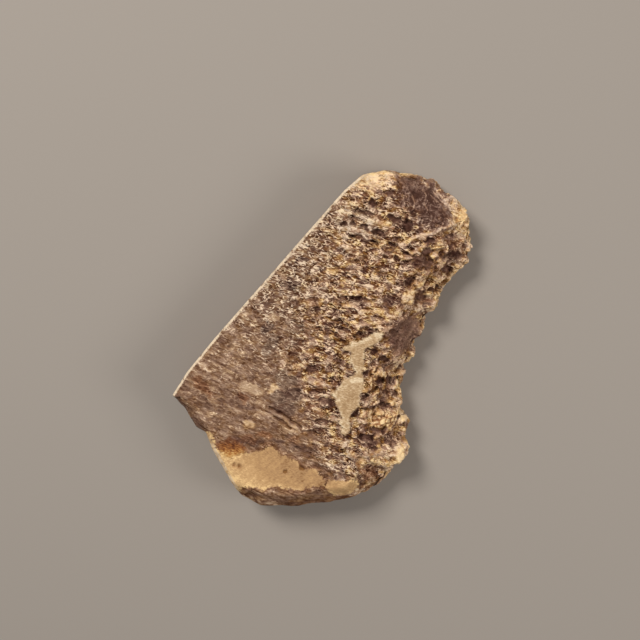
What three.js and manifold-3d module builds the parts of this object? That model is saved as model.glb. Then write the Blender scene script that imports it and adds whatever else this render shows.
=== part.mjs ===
import * as THREE from 'three';
import { LoftGeometry } from 'three/addons/geometries/LoftGeometry.js';
import { ImprovedNoise } from 'three/addons/math/ImprovedNoise.js';
import { mergeVertices } from 'three/addons/utils/BufferGeometryUtils.js';
import Module from 'manifold-3d';

// A slice of fossil bone, one piece, lying on its sawn back. Millimetres, +Z up.
// +X runs along the long sawn edge, +Y points out of that edge, and the shown face is up.
const thickness = 8;
const backChamfer = 0.35;

// How the edge of the slice ends. A clean edge has a chamfer. A broken one has a slope that
// falls from the flat face to the height top within the width slope. raw is how rough the
// stone is there, from 0 where it was sawn to 1 on bare broken bone.
const sawnEdge = { chamfer: 0.5, top: 8, slope: 0.5, raw: 0 };
const boneBreak = { chamfer: 0.25, top: 7.1, slope: 1.4, raw: 0.45 };
const matrixEdge = { chamfer: 0.5, top: 7.8, slope: 1.0, raw: 0.2 };
const lowerBevel = { chamfer: 0.2, top: 5.6, slope: 2.3, raw: 0.45 };
const rawCorner = { chamfer: 0, top: 4.4, slope: 6.0, raw: 1 };
const rawFlank = { chamfer: 0, top: 3.9, slope: 4.8, raw: 1 };
const upperEnd = { chamfer: 0, top: 5.2, slope: 4.0, raw: 0.9 };
const crown = { chamfer: 0, top: 6.7, slope: 2.2, raw: 0.55 };

// The rim seen from above, counter-clockwise from the low end of the sawn edge.
const rim = [
  { edge: boneBreak, points: [[-20.3, 14.0], [-20.5, 12.0], [-21.3, 9.0], [-20.9, 7.5]] },
  { edge: matrixEdge, points: [[-22.1, 5.3], [-22.9, 3.2], [-24.1, 0.1]] },
  { edge: lowerBevel, points: [[-25.0, -2.0], [-24.2, -5.1], [-20.9, -8.9], [-17.0, -11.7], [-14.8, -13.4]] },
  { edge: rawCorner, points: [[-12.2, -15.2], [-9.7, -15.3], [-7.4, -15.2], [-5.5, -15.0], [-4.2, -13.5]] },
  { edge: rawCorner, points: [[-3.0, -13.0], [-2.1, -11.8], [-1.9, -10.3]] },
  { edge: rawFlank, points: [[-0.5, -8.9], [1.2, -8.3], [3.1, -6.5], [5.5, -6.4], [5.9, -5.7], [8.4, -5.1]] },
  { edge: rawFlank, points: [[10.1, -4.2], [12.3, -4.4], [13.8, -3.4], [16.1, -3.3], [17.7, -2.9]] },
  { edge: rawFlank, points: [[19.6, -3.3], [21.1, -2.6], [22.3, -1.3]] },
  { edge: upperEnd, points: [[24.0, 0.3], [24.3, 2.1], [24.5, 4.1], [24.3, 6.1], [23.5, 8.8]] },
  { edge: crown, points: [[22.4, 11.0], [21.2, 12.8], [20.0, 13.9]] },
  { edge: sawnEdge, points: [[18.9, 14.7], [16.0, 15.1], [-10.0, 15.1], [-16.1, 14.9], [-20.0, 14.3]] },
];

// Facets.
const rimStep = 0.85;
const wallRows = 6;
const faceStep = 0.68;

// Broken stone: how far the walls and the slopes wander, and the sizes of their lumps.
const wallWander = 0.75;
const slopeWander = 1.1;
const lumpSize = 2.7;
const chipSize = 1.25;
const chipShare = 0.45;
const shoulderPower = 1.5;

// Spongy bone: the face grows open away from the dense bone, which lies above two lines.
const denseLine = { height: 6.2, rise: 0.48 };
const denseEnd = { start: -8.5, lean: 0.55 };
const spongeReach = 8;
const spongeDepth = 0.6;
const spongeCell = 1.5;
const spongeWear = 0.5;

// Open pores of the face: place, half length, half width and depth. They all run across
// the slice, a little askew.
const poreTurn = THREE.MathUtils.degToRad(-64);
const pores = [
  { x: 17.0, y: 11.2, long: 1.2, wide: 0.8, deep: 0.9 },
  { x: 17.6, y: 7.8, long: 1.6, wide: 0.9, deep: 1.3 },
  { x: 17.8, y: 5.4, long: 1.1, wide: 0.8, deep: 1.0 },
  { x: 14.2, y: 7.9, long: 1.2, wide: 1.3, deep: 1.2 },
  { x: 14.6, y: 5.5, long: 1.2, wide: 0.8, deep: 0.9 },
  { x: 13.5, y: 11.3, long: 1.9, wide: 0.8, deep: 0.9 },
  { x: 18.5, y: 2.4, long: 1.5, wide: 1.0, deep: 1.1 },
  { x: 16.1, y: 0.9, long: 1.4, wide: 1.1, deep: 1.1 },
  { x: 12.6, y: 1.0, long: 1.2, wide: 0.8, deep: 0.9 },
  { x: 2.0, y: 7.1, long: 1.0, wide: 0.8, deep: 0.8 },
  { x: 7.2, y: 3.6, long: 1.9, wide: 0.8, deep: 0.9 },
  { x: 2.7, y: 3.7, long: 1.3, wide: 0.8, deep: 0.8 },
  { x: 3.2, y: 0.8, long: 1.1, wide: 0.8, deep: 0.7 },
  { x: -5.2, y: -2.0, long: 1.1, wide: 0.8, deep: 0.6 },
];

// Lumps of stone that stand out of the broken corner.
const lumps = [
  { x: -5.4, y: -13.6, reach: 1.7, high: 0.9 },
  { x: -8.0, y: -12.9, reach: 1.9, high: 0.8 },
  { x: -3.4, y: -9.6, reach: 1.8, high: 0.8 },
];

const stoneNoise = new ImprovedNoise();

// Lumps with smaller chips on them, about -1 to 1.
function broken(x, y, z) {
  const coarse = stoneNoise.noise(x / lumpSize, y / lumpSize, z / lumpSize);
  const fine = stoneNoise.noise(x / chipSize, y / chipSize, z / chipSize);
  return coarse + chipShare * fine;
}

// How open the bone is at a place on the face, from 0 in dense bone to 1.
function openness(x, y) {
  const belowLine = denseLine.height + denseLine.rise * x - y;
  const pastEnd = x - denseEnd.start - denseEnd.lean * y;
  return THREE.MathUtils.smoothstep(Math.min(belowLine, pastEnd), 0, spongeReach);
}

// Depth of the worn cells of the spongy bone and of its open pores.
function spongeAt(x, y) {
  const cell = stoneNoise.noise(x / spongeCell, y / spongeCell, 0);
  let depth = Math.max(0, openness(x, y) * spongeDepth * (spongeWear + cell));
  for (const pore of pores) {
    const dx = x - pore.x;
    const dy = y - pore.y;
    const along = (dx * Math.cos(poreTurn) + dy * Math.sin(poreTurn)) / pore.long;
    const across = (dy * Math.cos(poreTurn) - dx * Math.sin(poreTurn)) / pore.wide;
    depth += pore.deep * Math.max(0, 1 - along * along - across * across);
  }
  return depth;
}

function lumpAt(x, y) {
  let height = 0;
  for (const lump of lumps) {
    const distance = Math.hypot(x - lump.x, y - lump.y) / lump.reach;
    height += lump.high * Math.max(0, 1 - distance * distance);
  }
  return height;
}

// Points along the rim, each with its outward direction and the kind of edge there.
function rimSamples() {
  const corners = rim.flatMap(({ edge, points }) => points.map(([x, y]) => ({ x, y, ...edge })));
  const samples = [];
  corners.forEach((from, index) => {
    const to = corners[(index + 1) % corners.length];
    const steps = Math.max(1, Math.round(Math.hypot(to.x - from.x, to.y - from.y) / rimStep));
    for (let step = 0; step < steps; step += 1) {
      const sample = {};
      for (const key of Object.keys(from)) {
        sample[key] = THREE.MathUtils.lerp(from[key], to[key], step / steps);
      }
      samples.push(sample);
    }
  });
  samples.forEach((sample, index) => {
    const before = samples[(index + samples.length - 1) % samples.length];
    const after = samples[(index + 1) % samples.length];
    sample.outward = new THREE.Vector2(after.y - before.y, before.x - after.x).normalize();
  });
  return samples;
}

// The top of the stone at a place: the sawn plane with its pores, and near a broken edge the
// slope down to the rim.
function topHeight(x, y, samples) {
  let near = samples[0];
  let distance = Infinity;
  for (const sample of samples) {
    const apart = Math.hypot(x - sample.x, y - sample.y);
    if (apart < distance) {
      near = sample;
      distance = apart;
    }
  }
  const part = Math.min(1, distance / near.slope);
  const shoulder = 1 - (1 - part) ** shoulderPower;
  const slope = THREE.MathUtils.lerp(near.top, thickness, shoulder);
  const wander = near.raw * slopeWander * (1 - part) * broken(x, y, slope);
  const stone = slope + wander + (1 - part) * lumpAt(x, y);
  return Math.min(thickness, stone) - spongeAt(x, y) * shoulder;
}

// The walls of the slice, standing a little higher than its face.
function wallGeometry(samples) {
  const overlap = 0.6;
  const ring = (heightOf, insetOf) => samples.map((sample) => {
    const height = heightOf(sample);
    const push = sample.raw * wallWander * broken(sample.x, sample.y, height) - insetOf(sample);
    return new THREE.Vector3(
      sample.x + sample.outward.x * push,
      sample.y + sample.outward.y * push,
      height,
    );
  });
  const rings = [];
  for (let row = 0; row <= wallRows; row += 1) {
    const inset = row === 0 ? backChamfer : 0;
    rings.push(ring(({ chamfer }) => (thickness - chamfer) * row / wallRows, () => inset));
  }
  const steepness = 1 + overlap / sawnEdge.chamfer;
  rings.push(ring(() => thickness + overlap, ({ chamfer }) => chamfer * steepness));
  return new LoftGeometry(rings, { capStart: true, capEnd: true });
}

// A block as high as the stone, wider than the slice, that reaches below its back.
function topGeometry(samples) {
  const margin = 3;
  const below = 1;
  const across = Math.max(...samples.map(({ x }) => Math.abs(x))) + margin;
  const deep = Math.max(...samples.map(({ y }) => Math.abs(y))) + margin;
  const columns = Math.round(2 * across / faceStep);
  const rows = Math.round(2 * deep / faceStep);
  const block = new THREE.BoxGeometry(2 * across, 2 * deep, 2 * below, columns, rows, 1);
  const places = block.getAttribute('position');
  for (let index = 0; index < places.count; index += 1) {
    if (places.getZ(index) > 0) {
      places.setZ(index, topHeight(places.getX(index), places.getY(index), samples));
    }
  }
  return block;
}

const wasm = await Module();
wasm.setup();

function solid(geometry) {
  const bare = new THREE.BufferGeometry();
  bare.setAttribute('position', geometry.getAttribute('position'));
  bare.setIndex(geometry.getIndex());
  const merged = mergeVertices(bare);
  return new wasm.Manifold(new wasm.Mesh({
    numProp: 3,
    vertProperties: new Float32Array(merged.getAttribute('position').array),
    triVerts: new Uint32Array(merged.getIndex().array),
  }));
}

// The origin is under the middle of the slice, on its back.
function centredGeometry(body) {
  const mesh = body.getMesh();
  const geometry = new THREE.BufferGeometry();
  geometry.setAttribute('position', new THREE.BufferAttribute(mesh.vertProperties, 3));
  geometry.setIndex(new THREE.BufferAttribute(mesh.triVerts, 1));
  geometry.computeBoundingBox();
  const middle = geometry.boundingBox.getCenter(new THREE.Vector3());
  return geometry.translate(-middle.x, -middle.y, -geometry.boundingBox.min.z);
}

const samples = rimSamples();
const body = solid(wallGeometry(samples)).intersect(solid(topGeometry(samples)));
const fossilBone = new THREE.MeshStandardMaterial({ color: 0x8c6c53, roughness: 0.7, metalness: 0 });

const boneSlice = new THREE.Mesh(centredGeometry(body), fossilBone);
boneSlice.name = 'bone_slice';

const slice = new THREE.Group();
slice.add(boneSlice);

export default slice;
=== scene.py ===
import math

import bpy
import numpy as np
from mathutils import Matrix, Vector, noise
from mathutils.geometry import delaunay_2d_cdt


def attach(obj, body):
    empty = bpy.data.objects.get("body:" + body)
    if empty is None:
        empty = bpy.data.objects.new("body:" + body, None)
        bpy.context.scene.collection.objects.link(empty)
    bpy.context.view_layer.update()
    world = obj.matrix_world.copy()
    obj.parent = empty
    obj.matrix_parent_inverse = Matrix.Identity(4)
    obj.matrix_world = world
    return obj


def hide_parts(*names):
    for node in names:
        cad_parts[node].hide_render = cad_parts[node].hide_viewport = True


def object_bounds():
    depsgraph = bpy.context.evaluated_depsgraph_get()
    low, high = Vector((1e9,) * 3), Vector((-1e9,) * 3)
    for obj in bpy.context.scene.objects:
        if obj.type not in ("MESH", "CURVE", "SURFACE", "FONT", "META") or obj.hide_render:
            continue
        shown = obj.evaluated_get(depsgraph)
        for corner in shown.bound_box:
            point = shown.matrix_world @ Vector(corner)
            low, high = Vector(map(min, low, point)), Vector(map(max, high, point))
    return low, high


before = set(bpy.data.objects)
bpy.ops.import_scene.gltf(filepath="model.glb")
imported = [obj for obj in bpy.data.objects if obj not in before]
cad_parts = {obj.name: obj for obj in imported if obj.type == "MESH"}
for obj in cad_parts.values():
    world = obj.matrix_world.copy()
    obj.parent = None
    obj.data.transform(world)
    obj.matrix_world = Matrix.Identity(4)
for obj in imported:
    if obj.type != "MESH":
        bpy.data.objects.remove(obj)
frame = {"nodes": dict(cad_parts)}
cadLow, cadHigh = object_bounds()
mm = 0.001
print("frame loaded:", ", ".join(frame["nodes"]))

# Lengths are millimetres: x runs along the sawn edge, y out of it and z out of the shown face.
sliceForm = {
    "thickness": 8.0,
    "offset": (0.212, 0.202),  # from the rim's points to the frame's origin
    "backChamfer": 0.35,
    "backFlat": 0.3,  # how far inside its chamfer the back turns flat
    "rimStep": 0.2,
    "rimSmoothing": 3,
    "faceStep": 0.132,
    "backStep": 0.42,
    "wallRows": 20,
    "arrisFade": 0.1,
    "shoulderPower": 1.5,  # roundness of the slope inside the rim
    # side of the square map, gap between its islands, strips of the wall, scale of the back
    "map": (60.0, 0.6, 3, 0.42),
    # width of the arris, height of the rim, width of the slope inside it, rawness of the break
    "edges": {
        "sawnEdge": (0.24, 8.0, 0.5, 0.0),
        "boneBreak": (0.25, 7.1, 1.4, 0.45),
        "matrixEdge": (0.5, 7.8, 1.0, 0.2),
        "lowerBevel": (0.2, 5.6, 2.3, 0.45),
        "rawCorner": (0.15, 4.4, 6.0, 1.0),
        "rawFlank": (0.15, 3.9, 4.8, 1.0),
        "upperEnd": (0.15, 5.2, 4.0, 0.9),
        "crown": (0.15, 6.7, 2.2, 0.55),
    },
    # counter-clockwise seen from above, from the low end of the sawn edge
    "rim": [
        ("boneBreak", [(-20.3, 14.0), (-20.5, 12.0), (-21.3, 9.0), (-20.9, 7.5)]),
        ("matrixEdge", [(-22.1, 5.3), (-22.9, 3.2), (-24.1, 0.1)]),
        ("lowerBevel", [(-25.0, -2.0), (-24.2, -5.1), (-20.9, -8.9), (-17.0, -11.7), (-14.8, -13.4)]),
        ("rawCorner", [(-12.2, -15.2), (-9.7, -15.3), (-7.4, -15.2), (-5.5, -15.0), (-4.2, -13.5)]),
        ("rawCorner", [(-3.0, -13.0), (-2.1, -11.8), (-1.9, -10.3)]),
        ("rawFlank", [(-0.5, -8.9), (1.2, -8.3), (3.1, -6.5), (5.5, -6.4), (5.9, -5.7), (8.4, -5.1)]),
        ("rawFlank", [(10.1, -4.2), (12.3, -4.4), (13.8, -3.4), (16.1, -3.3), (17.7, -2.9)]),
        ("rawFlank", [(19.6, -3.3), (21.1, -2.6), (22.3, -1.3)]),
        ("upperEnd", [(24.0, 0.3), (24.3, 2.1), (24.5, 4.1), (24.3, 6.1), (23.5, 8.8)]),
        ("crown", [(22.4, 11.0), (21.2, 12.8), (20.0, 13.9)]),
        ("sawnEdge", [(18.9, 14.7), (16.0, 15.1), (-10.0, 15.1), (-16.1, 14.9), (-20.0, 14.3)]),
    ],
}


def unit(value):
    return np.clip(value, 0, 1)


def blend(low, high, value):
    part = unit((value - low) / (high - low))
    return part * part * (3 - 2 * part)


def noLess(least, mask):
    return least + (1 - least) * mask


def strongest(*masks):
    return np.maximum.reduce(masks)


def placed(name, data):
    thing = bpy.data.objects.new(name, data)
    bpy.context.scene.collection.objects.link(thing)
    return thing


def rimSamples(form):
    corners = [(spot, form["edges"][kind]) for kind, spots in form["rim"] for spot in spots]
    rows = []
    for (spot, edge), (nextSpot, nextEdge) in zip(corners, corners[1:] + corners[:1]):
        count = max(1, round(math.dist(spot, nextSpot) / form["rimStep"]))
        share = np.arange(count)[:, None] / count
        start = np.array(spot + edge)
        rows.append(start + share * (np.array(nextSpot + nextEdge) - start))
    rows = np.vstack(rows)
    for _ in range(form["rimSmoothing"]):
        rows = (np.roll(rows, 1, 0) + 2 * rows + np.roll(rows, -1, 0)) / 4
    spots, edges = rows[:, :2], rows[:, 2:]
    ahead = np.roll(spots, -2, 0) - np.roll(spots, 2, 0)
    outward = np.column_stack([ahead[:, 1], -ahead[:, 0]])
    return spots, edges, outward / np.linalg.norm(outward, axis=1)[:, None]


def nearestRim(points, loop, blockSize=4000):
    index = np.zeros(len(points), int)
    gap = np.zeros(len(points))
    for start in range(0, len(points), blockSize):
        block = slice(start, start + blockSize)
        square = ((points[block, None, :2] - loop[None]) ** 2).sum(2)
        index[block] = square.argmin(1)
        gap[block] = np.sqrt(square.min(1))
    return index, gap


def filledLoop(loop, step, clearance=0.6, weld=1e-7):
    low, high = loop.min(0), loop.max(0)
    lattice = []
    for row, y in enumerate(np.arange(low[1], high[1], step * math.sqrt(0.75))):
        x = np.arange(low[0] + (row % 2) * step / 2, high[0], step)
        lattice.append(np.column_stack([x, np.full(len(x), y)]))
    lattice = np.vstack(lattice)
    clear = nearestRim(lattice, loop)[1] > clearance * step
    spots = np.vstack([loop, lattice[clear]])
    border = list(range(len(loop)))
    filling = delaunay_2d_cdt([Vector(spot) for spot in spots.tolist()], [], [border], 1, weld)
    corners = np.array([spot[:] for spot in filling[0]])
    triangles = np.array(filling[2])
    used = np.unique(np.concatenate([border, triangles.ravel()]))
    number = np.full(len(spots), -1)
    number[used] = np.arange(len(used))
    return corners[used], number[triangles]


def noiseAt(points, size, seed):
    spots = (points / size + seed).tolist()
    return np.fromiter((noise.noise(spot) for spot in spots), float, len(spots))


def hashed(spots, weights, spread):
    return np.abs(np.sin(spots @ weights) * spread) % 1


# distance to the middle of a cell and to its border, and two chance values of the cell
def cellsAt(points, seed):
    found = [noise.voronoi(spot) for spot in (points + seed).tolist()]
    gaps = np.array([near[0][:2] for near in found])
    centres = np.array([near[1][0][:] for near in found])
    chance = hashed(centres, (12.99, 78.23, 37.72), 4375.85)
    hue = hashed(centres, (39.35, 11.14, 83.16), 2357.61)
    return gaps[:, 0], gaps[:, 1] - gaps[:, 0], chance, hue


def stretched(points, degrees, along, across):
    turn = math.radians(degrees)
    length = points[:, 0] * math.cos(turn) + points[:, 1] * math.sin(turn)
    width = points[:, 1] * math.cos(turn) - points[:, 0] * math.sin(turn)
    return np.column_stack([length / along, width / across, points[:, 2] / across])


def sideGap(spots, start, end):
    side = end - start
    share = unit((spots - start) @ side / (side @ side))
    return np.linalg.norm(spots - start - share[:, None] * side, axis=1)


# millimetres inside an outline, below zero outside it
def insideBy(points, outline):
    spots = points[:, :2]
    corners = np.array(outline, float)
    gap = np.full(len(spots), np.inf)
    inside = np.zeros(len(spots), bool)
    for start, end in zip(corners, np.roll(corners, -1, 0)):
        gap = np.minimum(gap, sideGap(spots, start, end))
        run, rise = end - start
        crosses = (start[1] > spots[:, 1]) != (end[1] > spots[:, 1])
        if crosses.any():
            inside ^= crosses & (spots[:, 0] < start[0] + (spots[:, 1] - start[1]) * run / rise)
    return np.where(inside, gap, -gap)


def lineGap(points, line):
    spots = points[:, :2]
    corners = np.array(line, float)
    return np.minimum.reduce([sideGap(spots, start, end) for start, end in zip(corners, corners[1:])])


# the closed skin: the face, the walls and the back as one mesh
class Skin:
    def __init__(self, form):
        spots, edges, outward = rimSamples(form)
        arris, rimTop, slope, raw = edges.T
        topLoop = spots - outward * arris[:, None]
        backLoop = spots - outward * form["backChamfer"]
        face, faceTris = filledLoop(topLoop, form["faceStep"])
        back, backTris = filledLoop(backLoop, form["backStep"])
        index, gap = nearestRim(face, topLoop)
        part = unit(gap / slope[index])
        shoulder = 1 - (1 - part) ** form["shoulderPower"]
        faceZ = rimTop[index] + (form["thickness"] - rimTop[index]) * shoulder
        count = len(spots)
        rows = form["wallRows"]
        walls = []
        for row in range(1, rows):
            share = min(1, (row - 1) / (rows - 3))
            below = 0 if row == rows - 1 else form["arrisFade"]
            z = form["backChamfer"] + share * (rimTop - arris - below - form["backChamfer"])
            walls.append(np.column_stack([spots, z]))
        backIndex, backGap = nearestRim(back, backLoop)
        self.points = np.vstack([
            np.column_stack([face, faceZ]),
            *walls,
            np.column_stack([back, np.zeros(len(back))]),
        ])
        column = np.arange(count)
        self.onFace = np.zeros(len(self.points))
        self.onFace[:len(face)] = 1
        self.onBack = np.zeros(len(self.points))
        self.onBack[-len(back):] = 1
        rimIndex = np.concatenate([index, np.tile(column, rows - 1), backIndex])
        self.raw = raw[rimIndex]
        depths = [np.zeros(len(face)), *(rimTop - wall[:, 2] for wall in walls)]
        self.belowRim = np.concatenate([*depths, np.full(len(back), form["thickness"])])
        self.onArris = np.zeros(len(self.points))
        self.onArris[:count] = 1
        self.onArris[len(face) + count * (rows - 2):len(face) + count * (rows - 1)] = 1
        backFlat = unit(backGap / form["backFlat"])
        self.flat = np.concatenate([part, np.zeros(count * (rows - 1)), backFlat])
        # rows of the wall from the back's loop up to the face's loop
        backStart = len(face) + count * (rows - 1)
        rings = [backStart + column]
        rings += [len(face) + row * count + column for row in range(rows - 1)]
        rings.append(column)
        quads = []
        for lower, upper in zip(rings, rings[1:]):
            quads.append(np.column_stack([lower, np.roll(lower, -1), np.roll(upper, -1), upper]))
        quads = np.vstack(quads)
        wallTris = np.vstack([quads[:, [0, 1, 2]], quads[:, [0, 2, 3]]])
        self.triangles = np.vstack([faceTris, wallTris, backTris[:, ::-1] + backStart])
        self.unwrap(form, face, faceTris, back, backTris, spots, rows)

    # face, walls in three strips and the smaller back side by side on one square map
    def unwrap(self, form, face, faceTris, back, backTris, spots, rows):
        side, margin, strips, backShare = form["map"]
        faceLow = face.min(0)
        faceMap = face - faceLow + margin / 2
        count = len(spots)
        step = np.linalg.norm(np.roll(spots, -1, 0) - spots, axis=1)
        travel = np.concatenate([[0], np.cumsum(step)])
        stripLength = travel[-1] / strips
        left = np.repeat(np.arange(count)[None], rows, 0).ravel()
        low = np.repeat(np.arange(rows), count)
        strip = np.minimum((travel[left] / stripLength).astype(int), strips - 1)
        base = face[:, 1].max() - faceLow[1] + 2 * margin
        rowHeight = (form["thickness"] + margin) / rows

        def wallSpot(column, row):
            across = travel[column] - strip * stripLength + margin / 2
            up = base + strip * (form["thickness"] + 2 * margin) + row * rowHeight
            return np.column_stack([across, up])

        cornerSteps = ((0, 0), (1, 0), (1, 1), (0, 1))
        corners = [wallSpot(left + right, low + up) for right, up in cornerSteps]
        halves = ((0, 1, 2), (0, 2, 3))
        wallMap = np.vstack([np.stack([corners[corner] for corner in half], 1) for half in halves])
        backSpots = (back - back.min(0)) * backShare
        backMap = np.column_stack([
            stripLength + 2.5 * margin + backSpots[:, 1],
            base + backSpots[:, 0],
        ])
        self.map = np.vstack([
            faceMap[faceTris].reshape(-1, 2),
            wallMap.reshape(-1, 2),
            backMap[backTris[:, ::-1]].reshape(-1, 2),
        ]) / side


skin = Skin(sliceForm)
print("skin:", len(skin.points), "points,", len(skin.triangles), "triangles")

boneSlice = bpy.data.meshes.new("bone_slice_stone")
boneSlice.from_pydata(skin.points.tolist(), [], skin.triangles.tolist())
normals = np.zeros(len(skin.points) * 3)
boneSlice.vertex_normals.foreach_get("vector", normals)
normals = normals.reshape(-1, 3)

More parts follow.
